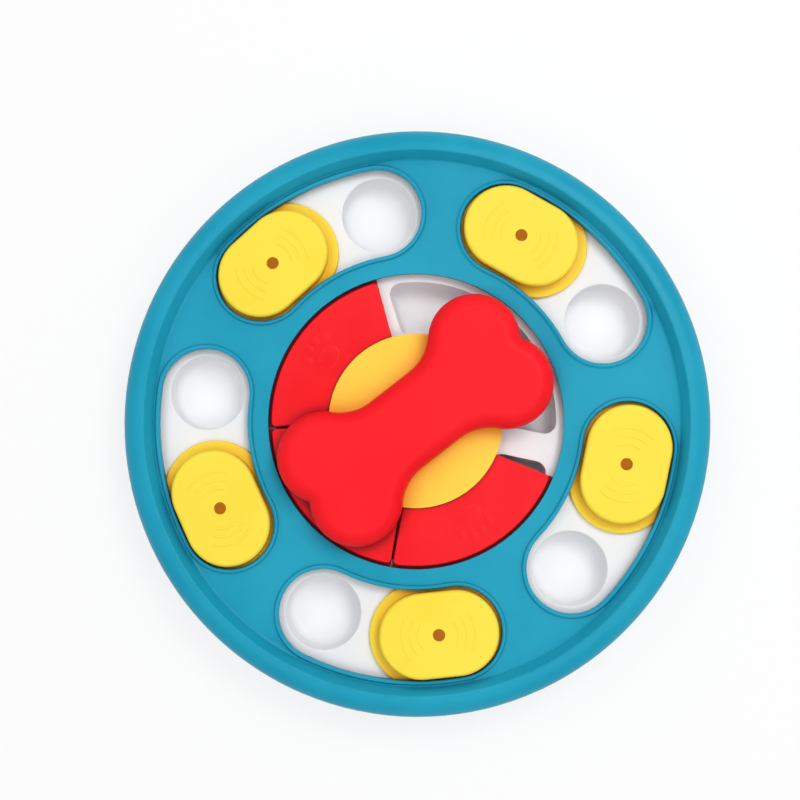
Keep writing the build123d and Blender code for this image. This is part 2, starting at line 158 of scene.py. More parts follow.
def compute(
    tree: Tree, operation: str, first: Feed, second: Feed = 0.0, third: Feed = 0.0
) -> Socket:
    """Adds a Math node and returns its output.

    Args:
        tree: The tree that gets the node.
        operation: Blender's name of the operation.
        first: First value or socket.
        second: Second value or socket.
        third: Third value or socket, for the operations that take one.

    Returns:
        The output socket.
    """
    feeds = {0: first, 1: second, 2: third}
    return place_node(tree, "ShaderNodeMath", feeds, operation=operation).outputs[0]


def weigh(tree: Tree, first: Socket, second: Socket, share: float) -> Socket:
    """Adds up two values, the second by its share and the first by the rest of it."""
    rest = compute(tree, "MULTIPLY", first, 1.0 - share)
    return compute(tree, "MULTIPLY_ADD", second, share, rest)


def remap(
    tree: Tree, value: Socket, span: Point, to_low: Feed = 0.0, to_high: Feed = 1.0
) -> Socket:
    """Adds a clamped Map Range node and returns its output.

    Args:
        tree: The tree that gets the node.
        value: Socket that is mapped.
        span: Lower and upper end of the incoming range.
        to_low: What the lower end becomes, a number or a socket.
        to_high: What the upper end becomes, a number or a socket.

    Returns:
        The output socket.
    """
    low, high = span
    feeds = {"Value": value, "From Min": low, "From Max": high, "To Min": to_low, "To Max": to_high}
    return place_node(tree, "ShaderNodeMapRange", feeds).outputs["Result"]


def combine(tree: Tree, x: Feed = 0.0, y: Feed = 0.0, z: Feed = 0.0) -> Socket:
    """Adds a Combine XYZ node and returns its vector."""
    return place_node(tree, "ShaderNodeCombineXYZ", {"X": x, "Y": y, "Z": z}).outputs[0]


def noise(tree: Tree, point: Socket, scale: Feed, detail: float, roughness: float = 0.5) -> Socket:
    """Adds a Noise Texture node and returns its height."""
    feeds = {"Vector": point, "Scale": scale, "Detail": detail, "Roughness": roughness}
    return place_node(tree, "ShaderNodeTexNoise", feeds).outputs[0]


def open_group(
    name: str,
    kind: TreeKind,
    inputs: Sequence[tuple],
    outputs: Sequence[tuple[str, Port]],
) -> tuple[Tree, Node, Node]:
    """Starts a node group with named sockets.

    Args:
        name: Name of the group.
        kind: Shader or geometry tree.
        inputs: Name, port and, where there is one, default value of each input.
        outputs: Name and port of each output.

    Returns:
        The tree, its input node and its output node.
    """
    tree = bpy.data.node_groups.new(name, kind.value)
    for label, port, *default in inputs:
        socket = tree.interface.new_socket(label, in_out="INPUT", socket_type=port.value)
        if default:
            socket.default_value = default[0]
    for label, port in outputs:
        tree.interface.new_socket(label, in_out="OUTPUT", socket_type=port.value)
    return tree, tree.nodes.new("NodeGroupInput"), tree.nodes.new("NodeGroupOutput")


# ---- Effects that several finishes share ----------------------------------------------------


def moulded_skin_group() -> Tree:
    """Builds the skin of a moulding: slow changes of tone, orange peel and fine spark grain.

    Returns:
        The group.
    """
    tree, given, made = open_group(
        "moulded_skin",
        TreeKind.SHADER,
        [
            ("Point", Port.VECTOR),
            ("Mottle Scale", Port.NUMBER, 26.0),
            ("Peel Scale", Port.NUMBER, 420.0),
            ("Grain Scale", Port.NUMBER, 3600.0),
            ("Smooth", Port.NUMBER, 0.3),
            ("Rough", Port.NUMBER, 0.42),
        ],
        [("Tone", Port.NUMBER), ("Roughness", Port.NUMBER), ("Height", Port.NUMBER)],
    )
    noise_roughness = 0.55
    tone_span, gloss_span = (0.36, 0.66), (0.1, 0.8)
    grain_in_height, grain_in_gloss = 0.3, 0.35
    point = given.outputs["Point"]
    mottle, peel, grain = (
        noise(tree, point, given.outputs[label], detail, noise_roughness)
        for label, detail in (("Mottle Scale", 3.0), ("Peel Scale", 1.5), ("Grain Scale", 2.0))
    )
    tone = remap(tree, mottle, tone_span)
    height = weigh(tree, peel, grain, grain_in_height)
    gloss = weigh(tree, tone, grain, grain_in_gloss)
    roughness = remap(tree, gloss, gloss_span, given.outputs["Smooth"], given.outputs["Rough"])
    for label, value in (("Tone", tone), ("Roughness", roughness), ("Height", height)):
        tree.links.new(value, made.inputs[label])
    return tree


def wear_and_highlight_group() -> Tree:
    """Builds a mask that is high, in patches, along edges that paws and noses rub and that take a
    painted highlight.

    Returns:
        The group.
    """
    tree, given, made = open_group(
        "wear_and_highlight_edge",
        TreeKind.SHADER,
        [
            ("Point", Port.VECTOR),
            ("Reach", Port.NUMBER, 0.7 * MM),
            ("Patch Scale", Port.NUMBER, 70.0),
        ],
        [("Mask", Port.NUMBER)],
    )
    bend_span, flat_span, patch_span = (0.01, 0.14), (0.96, 0.998), (0.4, 0.7)
    least_patch = 0.15
    rounded = place_node(tree, "ShaderNodeBevel", {"Radius": given.outputs["Reach"]}, samples=4)
    face = place_node(tree, "ShaderNodeNewGeometry").outputs["Normal"]
    agreement = place_node(
        tree, "ShaderNodeVectorMath", {0: rounded.outputs[0], 1: face}, operation="DOT_PRODUCT"
    )
    bend = compute(tree, "SUBTRACT", 1.0, agreement.outputs["Value"])
    edge = remap(tree, bend, bend_span)
    up = place_node(tree, "ShaderNodeSeparateXYZ", {0: face}).outputs["Z"]
    leaning = remap(tree, compute(tree, "ABSOLUTE", up), flat_span, 1.0, 0.0)
    patch = noise(tree, given.outputs["Point"], given.outputs["Patch Scale"], 3.0)
    patches = remap(tree, patch, patch_span, least_patch)
    worn_and_highlighted = compute(tree, "MULTIPLY", compute(tree, "MULTIPLY", edge, leaning), patches)
    tree.links.new(worn_and_highlighted, made.inputs["Mask"])
    return tree


def handling_mark_group() -> Tree:
    """Builds a mask of fine hairline scratches that run two ways across a surface.

    Returns:
        The group.
    """
    tree, given, made = open_group(
        "handling_marks",
        TreeKind.SHADER,
        [("Point", Port.VECTOR), ("Scale", Port.NUMBER, 45.0), ("Amount", Port.NUMBER, 1.0)],
        [("Mask", Port.NUMBER)],
    )
    headings_and_stretches = ((24.0, 42.0), (-51.0, 36.0))
    strand_span = (0.66, 0.74)
    strands = []
    for heading, stretch in headings_and_stretches:
        laid = place_node(
            tree,
            "ShaderNodeMapping",
            {
                "Vector": given.outputs["Point"],
                "Rotation": (0.0, 0.0, radians(heading)),
                "Scale": (1.0, stretch, 1.0),
            },
        )
        strand = noise(tree, laid.outputs[0], given.outputs["Scale"], 2.0)
        strands.append(remap(tree, strand, strand_span))
    both = compute(tree, "MAXIMUM", *strands)
    tree.links.new(compute(tree, "MULTIPLY", both, given.outputs["Amount"]), made.inputs["Mask"])
    return tree


def painted_shade_group() -> Tree:
    """Builds a painted shade mask: high in creases, gaps and hollows, where little light reaches.

    Returns:
        The group.
    """
    tree, given, made = open_group(
        "painted_shade_area",
        TreeKind.SHADER,
        [("Reach", Port.NUMBER, 8.0 * MM)],
        [("Mask", Port.NUMBER)],
    )
    open_span = (0.3, 0.92)
    openness = place_node(
        tree, "ShaderNodeAmbientOcclusion", {"Distance": given.outputs["Reach"]}, samples=8
    )
    tree.links.new(remap(tree, openness.outputs["AO"], open_span, 1.0, 0.0), made.inputs["Mask"])
    return tree


@dataclass
class SharedEffects:
    """The shader groups, each built once."""

    painted_shade: Tree = field(default_factory=painted_shade_group)
    skin: Tree = field(default_factory=moulded_skin_group)
    edge: Tree = field(default_factory=wear_and_highlight_group)
    marks: Tree = field(default_factory=handling_mark_group)


# ---- Finishes -------------------------------------------------------------------------------


def start_material(slot: Slot) -> tuple[bpy.types.Material, Node, Socket]:
    """Starts a material with a Principled shader and object coordinates.

    Args:
        slot: The slot that the material fills.

    Returns:
        The material, its shader and the coordinate socket.
    """
    material = bpy.data.materials.new(f"{slot.value}_finish")
    material.use_nodes = True
    tree = material.node_tree
    tree.nodes.clear()
    shader = place_node(tree, "ShaderNodeBsdfPrincipled")
    place_node(tree, "ShaderNodeOutputMaterial", {"Surface": shader.outputs[0]})
    point = place_node(tree, "ShaderNodeTexCoord").outputs["Object"]
    return material, shader, point


def blend_colours(tree: Tree, share: Socket, first: Feed, second: Feed) -> Socket:
    """Mixes two colours by a changing share.

    Args:
        tree: The material's tree.
        share: Socket of the second colour's share.
        first: Linear colour or socket.
        second: Linear colour or socket.

    Returns:
        The colour socket.
    """
    mix = place_node(tree, "ShaderNodeMix", {0: share, 6: first, 7: second}, data_type="RGBA")
    return mix.outputs[2]


def raise_surface(tree: Tree, shader: Node, height: Socket, depth: float) -> None:
    """Feeds a height into the shader's normal through a Bump node.

    Args:
        tree: The material's tree.
        shader: The Principled shader.
        height: Height socket, 0 to 1.
        depth: What a height of 1 stands for, in metres.
    """
    feeds = {"Strength": 1.0, "Distance": depth, "Height": height}
    bump = place_node(tree, "ShaderNodeBump", feeds)
    tree.links.new(bump.outputs[0], shader.inputs["Normal"])


@dataclass(frozen=True)
class MouldedPlastic:
    """Injection-moulded plastic, coloured through, with a satin skin.

    Creases and gaps take the painted shade colour.  Faces that look down get a painted glow,
    standing in for the light that falls on a thin wall's top and comes through it.
    """

    slot: Slot
    colour: Rgb
    deep: Rgb
    # Lighter colour of rounded edges: partly wear, partly a painted highlight.
    wear_and_highlight: Rgb
    # Painted shade colour of creases, gaps and hollows, and the reach of that shade.
    painted_shade_colour: Rgb
    painted_shade_reach: float = 6.0 * MM
    # Painted glow colour of faces that look down, and the span of facing that glows.
    painted_glow: Rgb = (0, 0, 0)
    painted_glow_span: Point = (-0.95, -0.6)
    smooth: float = 0.30
    rough: float = 0.44
    marks_in_roughness: float = 0.12
    specular: float = 0.22
    relief: float = 0.012 * MM
    edge_share: float = 0.30

    def material(self, effects: SharedEffects) -> bpy.types.Material:
        """Builds the material.

        Args:
            effects: The shared shader groups.

        Returns:
            The material.
        """
        material, shader, point = start_material(self.slot)
        tree = material.node_tree
        skin = place_group(
            tree, effects.skin, {"Point": point, "Smooth": self.smooth, "Rough": self.rough}
        ).outputs
        edge = place_group(tree, effects.edge, {"Point": point}).outputs["Mask"]
        marks = place_group(tree, effects.marks, {"Point": point}).outputs["Mask"]
        painted_shade = place_group(tree, effects.painted_shade, {"Reach": self.painted_shade_reach}).outputs["Mask"]
        toned = blend_colours(tree, skin["Tone"], linear(self.deep), linear(self.colour))
        # Painted shade: creases, gaps and hollows turn towards the painted shade colour.
        body = blend_colours(tree, painted_shade, toned, linear(self.painted_shade_colour))
        # Lighter edges: partly wear, partly a painted highlight.
        share = compute(tree, "MULTIPLY", edge, self.edge_share)
        worn_and_highlighted = blend_colours(tree, share, body, linear(self.wear_and_highlight))
        tree.links.new(worn_and_highlighted, shader.inputs["Base Color"])
        rough = compute(tree, "MULTIPLY_ADD", marks, self.marks_in_roughness, skin["Roughness"])
        tree.links.new(rough, shader.inputs["Roughness"])
        shader.inputs["Specular IOR Level"].default_value = self.specular
        # Painted glow on faces that look down.
        if any(self.painted_glow):
            self.paint_glow(tree, shader)
        raise_surface(tree, shader, skin["Height"], self.relief)
        return material

    def paint_glow(self, tree: Tree, shader: Node) -> None:
        """Paints a glow on faces that look down, standing in for the light through a thin lit wall.

        Args:
            tree: The material's tree.
            shader: The Principled shader.
        """
        face = place_node(tree, "ShaderNodeNewGeometry").outputs["True Normal"]
        up = place_node(tree, "ShaderNodeSeparateXYZ", {0: face}).outputs["Z"]
        underside = remap(tree, up, self.painted_glow_span, 1.0, 0.0)
        glow = blend_colours(tree, underside, linear((0, 0, 0)), linear(self.painted_glow))
        tree.links.new(glow, shader.inputs["Emission Color"])
        shader.inputs["Emission Strength"].default_value = 1.0


@dataclass(frozen=True)
class PlatedSteel:
    """Zinc-plated steel of the screws and the washer, with turning marks round the axis."""

    slot: Slot
    colour: Rgb
    dull: Rgb
    wear_and_highlight: Rgb = (236, 238, 240)
    mottle_scale: float = 260.0
    edge_reach: float = 0.25 * MM
    ring_scale: float = 900.0
    ring_distortion: float = 1.5
    smooth: float = 0.26
    rough: float = 0.46
    relief: float = 0.006 * MM

    def material(self, effects: SharedEffects) -> bpy.types.Material:
        """Builds the material.

        Args:
            effects: The shared shader groups.

        Returns:
            The material.
        """
        material, shader, point = start_material(self.slot)
        tree = material.node_tree
        feeds = {
            "Point": point,
            "Mottle Scale": self.mottle_scale,
            "Smooth": self.smooth,
            "Rough": self.rough,
        }
        skin = place_group(tree, effects.skin, feeds).outputs
        feeds = {"Point": point, "Reach": self.edge_reach}
        edge = place_group(tree, effects.edge, feeds).outputs["Mask"]
        turning = place_node(
            tree,
            "ShaderNodeTexWave",
            {
                "Vector": point,
                "Scale": self.ring_scale,
                "Distortion": self.ring_distortion,
                "Detail": 2.0,
            },
            wave_type="RINGS",
            rings_direction="Z",
        )
        body = blend_colours(tree, skin["Tone"], linear(self.dull), linear(self.colour))
        # Lighter edges: partly wear, partly a painted highlight.
        worn_and_highlighted = blend_colours(tree, edge, body, linear(self.wear_and_highlight))
        tree.links.new(worn_and_highlighted, shader.inputs["Base Color"])
        tree.links.new(skin["Roughness"], shader.inputs["Roughness"])
        shader.inputs["Metallic"].default_value = 1.0
        raise_surface(tree, shader, turning.outputs[1], self.relief)
        return material


@dataclass(frozen=True)
class SoftRubber:
    """Pale grey rubber of the feet, matt and faintly dusty."""

    slot: Slot
    colour: Rgb
    dusty: Rgb
    wear_and_highlight: Rgb = (226, 226, 224)
    mottle_scale: float = 180.0
    peel_scale: float = 1500.0
    smooth: float = 0.7
    rough: float = 0.9
    specular: float = 0.25
    relief: float = 0.03 * MM
    edge_share: float = 0.4

    def material(self, effects: SharedEffects) -> bpy.types.Material:
        """Builds the material.

        Args:
            effects: The shared shader groups.

        Returns:
            The material.
        """
        material, shader, point = start_material(self.slot)
        tree = material.node_tree
        feeds = {
            "Point": point,
            "Mottle Scale": self.mottle_scale,
            "Peel Scale": self.peel_scale,
            "Smooth": self.smooth,
            "Rough": self.rough,
        }
        skin = place_group(tree, effects.skin, feeds).outputs
        edge = place_group(tree, effects.edge, {"Point": point}).outputs["Mask"]
        body = blend_colours(tree, skin["Tone"], linear(self.colour), linear(self.dusty))
        # Lighter edges: partly wear, partly a painted highlight.
        share = compute(tree, "MULTIPLY", edge, self.edge_share)
        worn_and_highlighted = blend_colours(tree, share, body, linear(self.wear_and_highlight))
        tree.links.new(worn_and_highlighted, shader.inputs["Base Color"])
        tree.links.new(skin["Roughness"], shader.inputs["Roughness"])
        shader.inputs["Specular IOR Level"].default_value = self.specular
        raise_surface(tree, shader, skin["Height"], self.relief)
        return material


FINISHES = (
    MouldedPlastic(
        Slot.COVER,
        colour=(32, 164, 194),
        deep=(24, 156, 187),
        wear_and_highlight=(84, 192, 214),
        # Dark teal painted shade in creases and gaps.
        painted_shade_colour=(2, 84, 118),
        specular=0.14,
        # A stronger share of lighter edges on the cover, partly a painted highlight along the rim's
        # crest.
        edge_share=0.34,
    ),
    MouldedPlastic(
        Slot.TRAY,
        colour=(247, 247, 248),
        deep=(243, 243, 245),
        wear_and_highlight=(252, 252, 252),
        # Pale grey painted shade in the bowls and compartments.
        painted_shade_colour=(240, 241, 244),
        painted_shade_reach=15.0 * MM,
        smooth=0.32,
        rough=0.48,
    ),
    MouldedPlastic(
        Slot.BUTTON,
        colour=(255, 231, 72),
        deep=(253, 226, 64),
        wear_and_highlight=(255, 240, 130),
        # Orange painted shade in creases and gaps; the last colour is a painted glow on faces that
        # look down.
        painted_shade_colour=(250, 186, 34),
        painted_shade_reach=9.0 * MM,
        painted_glow=(172, 106, 4),
    ),
    MouldedPlastic(
        Slot.LID,
        colour=(252, 28, 38),
        deep=(246, 20, 30),
        wear_and_highlight=(255, 80, 86),
        # Near-black painted shade in the gaps round the lids.
        painted_shade_colour=(92, 2, 20),
        specular=0.16,
    ),
    MouldedPlastic(
        Slot.DOME,
        colour=(255, 222, 76),
        deep=(253, 214, 68),
        wear_and_highlight=(255, 236, 130),
        # Orange painted shade, reaching far, in the shade round the bone.
        painted_shade_colour=(252, 138, 34),
        painted_shade_reach=24.0 * MM,
    ),
    MouldedPlastic(
        Slot.BONE,
        colour=(255, 28, 40),
        deep=(252, 22, 34),
        wear_and_highlight=(255, 80, 86),
        # Dark red painted shade in creases and gaps.
        painted_shade_colour=(196, 8, 20),
        smooth=0.42,
        rough=0.56,
        specular=0.14,
    ),
    PlatedSteel(Slot.SCREW, colour=(198, 200, 203), dull=(160, 162, 166)),
    SoftRubber(Slot.FOOT, colour=(196, 198, 199), dusty=(212, 212, 210)),
)


class FinishBook:
    """Builds each finish once and hands its material out by slot."""

    def __init__(self) -> None:
        """Builds all materials."""
        effects = SharedEffects()
        self.materials = {finish.slot: finish.material(effects) for finish in FINISHES}

    def get(self, slot: Slot) -> bpy.types.Material:
        """Returns the material of a slot."""
        return self.materials[slot]


# ---- Geometry node trees --------------------------------------------------------------------

TURNING_SIZES = (("Profile", Port.GEOMETRY), ("Segments", Port.COUNT))
SET_OUT_SIZES = (
    ("Copies", Port.COUNT),
    ("Circle Radius", Port.NUMBER),
    ("First Angle", Port.NUMBER),
)
PLACING_SIZES = (
    ("Heading", Port.NUMBER),
    ("Circle Radius", Port.NUMBER),
    ("Top", Port.NUMBER),
)


def transform(tree: Tree, shape: Socket, how: str, value: Feed) -> Socket:
    """Moves, turns or scales a shape, by the Transform node's input of that name."""
    return place_node(tree, "GeometryNodeTransform", {"Geometry": shape, how: value}).outputs[0]


def realize(tree: Tree, shape: Socket) -> Socket:
    """Makes a shape's instances real."""
    return place_node(tree, "GeometryNodeRealizeInstances", {"Geometry": shape}).outputs[0]


def merge_near(tree: Tree, shape: Socket) -> Socket:
    """Makes one point of the points of a shape that lie together."""
    feeds = {"Geometry": shape, "Distance": MERGE_REACH}
    return place_node(tree, "GeometryNodeMergeByDistance", feeds).outputs[0]


def join(tree: Tree, shapes: Sequence[Socket]) -> Socket:
    """Joins shapes into one geometry.

    Args:
        tree: The geometry tree.
        shapes: Geometry sockets of the shapes.

    Returns:
        Socket of the whole.
    """
    whole = place_node(tree, "GeometryNodeJoinGeometry")
    for shape in shapes:
        tree.links.new(shape, whole.inputs[0])
    return whole.outputs[0]


def repeat(tree: Tree, shape: Socket, count: Feed, spot: Feed, feeds: Feeds) -> Socket:
    """Puts copies of a shape on points.

    Args:
        tree: The geometry tree.
        shape: Geometry socket of the shape.
        count: How many copies there are.
        spot: Place of each copy.
        feeds: Rotation or Scale of each copy, where it has one.

    Returns:
        The instances' socket.
    """
    points = place_node(tree, "GeometryNodePoints", {"Count": count, "Position": spot})
    feeds = {"Points": points.outputs[0], "Instance": shape, **feeds}
    return place_node(tree, "GeometryNodeInstanceOnPoints", feeds).outputs[0]


def open_piece_tree(name: str, sizes: Sequence[tuple]) -> tuple[Tree, Node, Node]:
    """Starts a geometry tree that takes sizes and a finish and makes pieces."""
    inputs = [*sizes, ("Finish", Port.MATERIAL)]
    return open_group(name, TreeKind.GEOMETRY, inputs, [("Pieces", Port.GEOMETRY)])


def close_tree(tree: Tree, given: Node, made: Node, shape: Socket) -> None:
    """Ends a geometry tree with Realize Instances and Set Material.

    Args:
        tree: The geometry tree.
        given: Its input node, with the finish.
        made: Its output node.
        shape: Geometry socket that is finished.
    """
    feeds = {"Geometry": realize(tree, shape), "Material": given.outputs["Finish"]}
    painted = place_node(tree, "GeometryNodeSetMaterial", feeds)
    tree.links.new(painted.outputs[0], made.inputs["Pieces"])


def turned_profile_group() -> Tree:
    """Builds the group that turns a profile of points (radius, 0, height) about the Z axis.

    Returns:
        The group.
    """
    tree, given, made = open_group(
        "turned_profile", TreeKind.GEOMETRY, TURNING_SIZES, [("Mesh", Port.GEOMETRY)]
    )
    profile = given.outputs["Profile"]
    around = compute(tree, "ADD", given.outputs["Segments"], 1.0)
    points = place_node(
        tree, "GeometryNodeAttributeDomainSize", {"Geometry": profile}, component="MESH"
    )
    feeds = {"Vertices X": points.outputs["Point Count"], "Vertices Y": around}
    sheet = place_node(tree, "GeometryNodeMeshGrid", feeds)
    index = place_node(tree, "GeometryNodeInputIndex").outputs[0]
    row = compute(tree, "FLOOR", compute(tree, "DIVIDE", compute(tree, "ADD", index, 0.5), around))
    column = compute(tree, "SUBTRACT", index, compute(tree, "MULTIPLY", row, around))
    step = compute(tree, "DIVIDE", 2 * pi, given.outputs["Segments"])
    place = place_node(tree, "GeometryNodeInputPosition").outputs[0]
    on_profile = place_node(
        tree,
        "GeometryNodeSampleIndex",
        {"Geometry": profile, "Value": place, "Index": row},
        data_type="FLOAT_VECTOR",
        domain="POINT",
    )
    turned = place_node(
        tree,
        "ShaderNodeVectorRotate",
        {"Vector": on_profile.outputs[0], "Angle": compute(tree, "MULTIPLY", column, step)},
        rotation_type="Z_AXIS",
    )
    feeds = {"Geometry": sheet.outputs["Mesh"], "Position": turned.outputs[0]}
    moved = place_node(tree, "GeometryNodeSetPosition", feeds)
    tree.links.new(merge_near(tree, moved.outputs[0]), made.inputs["Mesh"])
    return tree


def set_out_group() -> Tree:
    """Builds the group that sets copies of a piece out evenly on a circle.

    Returns:
        The group.
    """
    tree, given, made = open_group(
        "set_out_on_circle",
        TreeKind.GEOMETRY,
        [("Piece", Port.GEOMETRY), *SET_OUT_SIZES],
        [("Pieces", Port.GEOMETRY)],
    )
    copies, reach = given.outputs["Copies"], given.outputs["Circle Radius"]
    index = place_node(tree, "GeometryNodeInputIndex").outputs[0]
    step = compute(tree, "DIVIDE", 2 * pi, copies)
    angle = compute(tree, "MULTIPLY_ADD", index, step, given.outputs["First Angle"])
    spot = combine(
        tree,
        compute(tree, "MULTIPLY", compute(tree, "COSINE", angle), reach),
        compute(tree, "MULTIPLY", compute(tree, "SINE", angle), reach),
    )
    turn = place_node(tree, "FunctionNodeEulerToRotation", {0: combine(tree, z=angle)})
    turns = {"Rotation": turn.outputs[0]}
    pieces = repeat(tree, given.outputs["Piece"], copies, spot, turns)
    tree.links.new(realize(tree, pieces), made.inputs["Pieces"])
    return tree


def close_set_out_tree(
    tree: Tree, given: Node, made: Node, setting_out: Tree, piece: Socket
) -> None:
    """Sets a tree's piece out on its circle and ends the tree.

    Args:
        tree: The geometry tree.
        given: Its input node, with the sizes of the circle and the finish.
        made: Its output node.
        setting_out: The set-out group.
        piece: Geometry socket of the piece.
    """
    placed = place_group(tree, setting_out, {"Piece": piece, **pick(given, SET_OUT_SIZES)})
    close_tree(tree, given, made, placed.outputs[0])


def turned_parts_tree(turning: Tree, setting_out: Tree) -> Tree:
    """Builds the tree that turns a profile and sets the pieces out on a circle.

    Args:
        turning: The turned profile group.
        setting_out: The set-out group.

    Returns:
        The tree.
    """
    tree, given, made = open_piece_tree("turned_parts", [*TURNING_SIZES, *SET_OUT_SIZES])
    piece = place_group(tree, turning, pick(given, TURNING_SIZES))
    close_set_out_tree(tree, given, made, setting_out, piece.outputs[0])
    return tree


def cross_head_screws_tree(turning: Tree, setting_out: Tree) -> Tree:
    """Builds the tree for screws with a cross recess in a head that faces down.

    Args:
        turning: The turned profile group.
        setting_out: The set-out group.

    Returns:
        The tree.
    """
    tree, given, made = open_piece_tree(
        "cross_head_screws",
        [
            *TURNING_SIZES,
            ("Head Bottom", Port.NUMBER),
            ("Recess Span", Port.NUMBER),
            ("Recess Width", Port.NUMBER),
            ("Recess Depth", Port.NUMBER),
            *SET_OUT_SIZES,
        ],
    )
    blank = place_group(tree, turning, pick(given, TURNING_SIZES))
    seat = combine(tree, z=given.outputs["Head Bottom"])
    cut = place_node(
        tree, "GeometryNodeMeshBoolean", {"Mesh 1": blank.outputs[0]}, operation="DIFFERENCE"
    )
    # Half of each blade stands in the head, so it is twice as high as the recess is deep.  One
    # ends a little short of that, as the cut stays clean only if no two faces lie in one plane.
    for along, across, rise in (
        ("Recess Span", "Recess Width", 2.0),
        ("Recess Width", "Recess Span", 1.96),
    ):
        height = compute(tree, "MULTIPLY", given.outputs["Recess Depth"], rise)
        size = combine(tree, given.outputs[along], given.outputs[across], height)
        blade = place_node(tree, "GeometryNodeMeshCube", {"Size": size}).outputs["Mesh"]
        tree.links.new(transform(tree, blade, "Translation", seat), cut.inputs["Mesh 2"])
    close_set_out_tree(tree, given, made, setting_out, cut.outputs["Mesh"])
    return tree


def place_on_heading(tree: Tree, given: Node, shape: Socket) -> Socket:
    """Moves a relief from the origin to its circle, heading and height.

    Args:
        tree: The geometry tree.
        given: Its input node, with Circle Radius, Top and Heading.
        shape: Geometry socket of the relief.

    Returns:
        The placed geometry's socket.
    """
    outwards = combine(tree, x=given.outputs["Circle Radius"], z=given.outputs["Top"])
    moved = transform(tree, shape, "Translation", outwards)
    return transform(tree, moved, "Rotation", combine(tree, z=given.outputs["Heading"]))


def ripple_tree() -> Tree:
    """Builds the tree for raised arcs on both sides of a button's scent hole.

    Returns:
        The tree.
    """
    tree, given, made = open_piece_tree(
        "button_ripples",
        [
            ("Blank", Port.GEOMETRY),
            ("Arcs", Port.COUNT),
            ("First Radius", Port.NUMBER),
            ("Pitch", Port.NUMBER),
            ("Sweep", Port.NUMBER),
            ("Width", Port.NUMBER),
            ("Height", Port.NUMBER),
            *PLACING_SIZES,
        ],
    )
    points_along, points_round, end_sharpness = 28, 14, 14.0
    sweep = given.outputs["Sweep"]
    start = compute(tree, "MULTIPLY_ADD", sweep, -0.5, pi / 2)
    feeds = {
        "Resolution": points_along,
        "Radius": 1.0,
        "Start Angle": start,
        "Sweep Angle": sweep,
    }
    arc = place_node(tree, "GeometryNodeCurveArc", feeds, mode="RADIUS").outputs["Curve"]
    index = place_node(tree, "GeometryNodeInputIndex").outputs[0]
    pitch, first = given.outputs["Pitch"], given.outputs["First Radius"]
    reach = compute(tree, "MULTIPLY_ADD", index, pitch, first)
    arcs = repeat(tree, arc, given.outputs["Arcs"], (0.0, 0.0, 0.0), {"Scale": reach})
    along = place_node(tree, "GeometryNodeSplineParameter").outputs["Factor"]
    off_middle = compute(tree, "ABSOLUTE", compute(tree, "MULTIPLY_ADD", along, 2.0, -1.0))
    drop = compute(tree, "POWER", off_middle, end_sharpness)
    swell = compute(tree, "SQRT", compute(tree, "SUBTRACT", 1.0, drop))
    half_width = compute(tree, "MULTIPLY", given.outputs["Width"], 0.5)
    feeds = {"Resolution": points_round, "Radius": half_width}
    section = place_node(tree, "GeometryNodeCurvePrimitiveCircle", feeds).outputs[0]
    feeds = {"Curve": realize(tree, arcs), "Profile Curve": section, "Scale": swell}
    swept = place_node(tree, "GeometryNodeCurveToMesh", feeds).outputs[0]
    flatness = compute(tree, "DIVIDE", given.outputs["Height"], half_width)
    near_side = transform(tree, swept, "Scale", combine(tree, 1.0, 1.0, flatness))
    far_side = transform(tree, near_side, "Rotation", (0.0, 0.0, pi))
    both = merge_near(tree, join(tree, (near_side, far_side)))
    close_tree(tree, given, made, place_on_heading(tree, given, both))
    return tree


def paw_print_tree() -> Tree:
    """Builds the tree for a raised paw print: one main pad and four toes.

    Returns:
        The tree.
    """
    tree, given, made = open_piece_tree(
        "paw_print",
        [
            ("Blank", Port.GEOMETRY),
            ("Pad Half Length", Port.NUMBER),
            ("Pad Half Width", Port.NUMBER),
            ("Toe Half Length", Port.NUMBER),
            ("Toe Half Width", Port.NUMBER),
            ("Outer Toes", Port.VECTOR),
            ("Inner Toes", Port.VECTOR),
            ("Height", Port.NUMBER),
            *PLACING_SIZES,
        ],
    )
    segments, rings, toe_count = 28, 14, 4
    feeds = {"Segments": segments, "Rings": rings, "Radius": 1.0}
    button = place_node(tree, "GeometryNodeMeshUVSphere", feeds).outputs["Mesh"]
    pad, toe = (
        transform(
            tree,
            button,
            "Scale",
            combine(
                tree,
                given.outputs[f"{form} Half Length"],
                given.outputs[f"{form} Half Width"],
                given.outputs["Height"],
            ),
        )
        for form in ("Pad", "Toe")
    )
    index = place_node(tree, "GeometryNodeInputIndex").outputs[0]
    pair = compute(tree, "FLOOR", compute(tree, "MULTIPLY", index, 0.5))
    side = compute(tree, "MULTIPLY_ADD", compute(tree, "MODULO", index, 2.0), 2.0, -1.0)
    spot = place_node(
        tree,
        "ShaderNodeMix",
        {0: pair, 4: given.outputs["Outer Toes"], 5: given.outputs["Inner Toes"]},
        data_type="VECTOR",
    )
    parts = place_node(tree, "ShaderNodeSeparateXYZ", {0: spot.outputs[1]}).outputs
    toe_place = combine(tree, parts["X"], compute(tree, "MULTIPLY", parts["Y"], side))
    toes = repeat(tree, toe, toe_count, toe_place, {})
    whole = join(tree, (pad, toes))
    close_tree(tree, given, made, place_on_heading(tree, given, whole))
    return tree


class TreeShed:
    """The geometry node trees, each built once."""

    def __init__(self) -> None:
        """Builds all trees."""
        turning = turned_profile_group()
        setting_out = set_out_group()
        self.turned_parts = turned_parts_tree(turning, setting_out)
        self.cross_head_screws = cross_head_screws_tree(turning, setting_out)
        self.ripples = ripple_tree()
        self.paw_print = paw_print_tree()


# ---- Mesh helpers ---------------------------------------------------------------------------


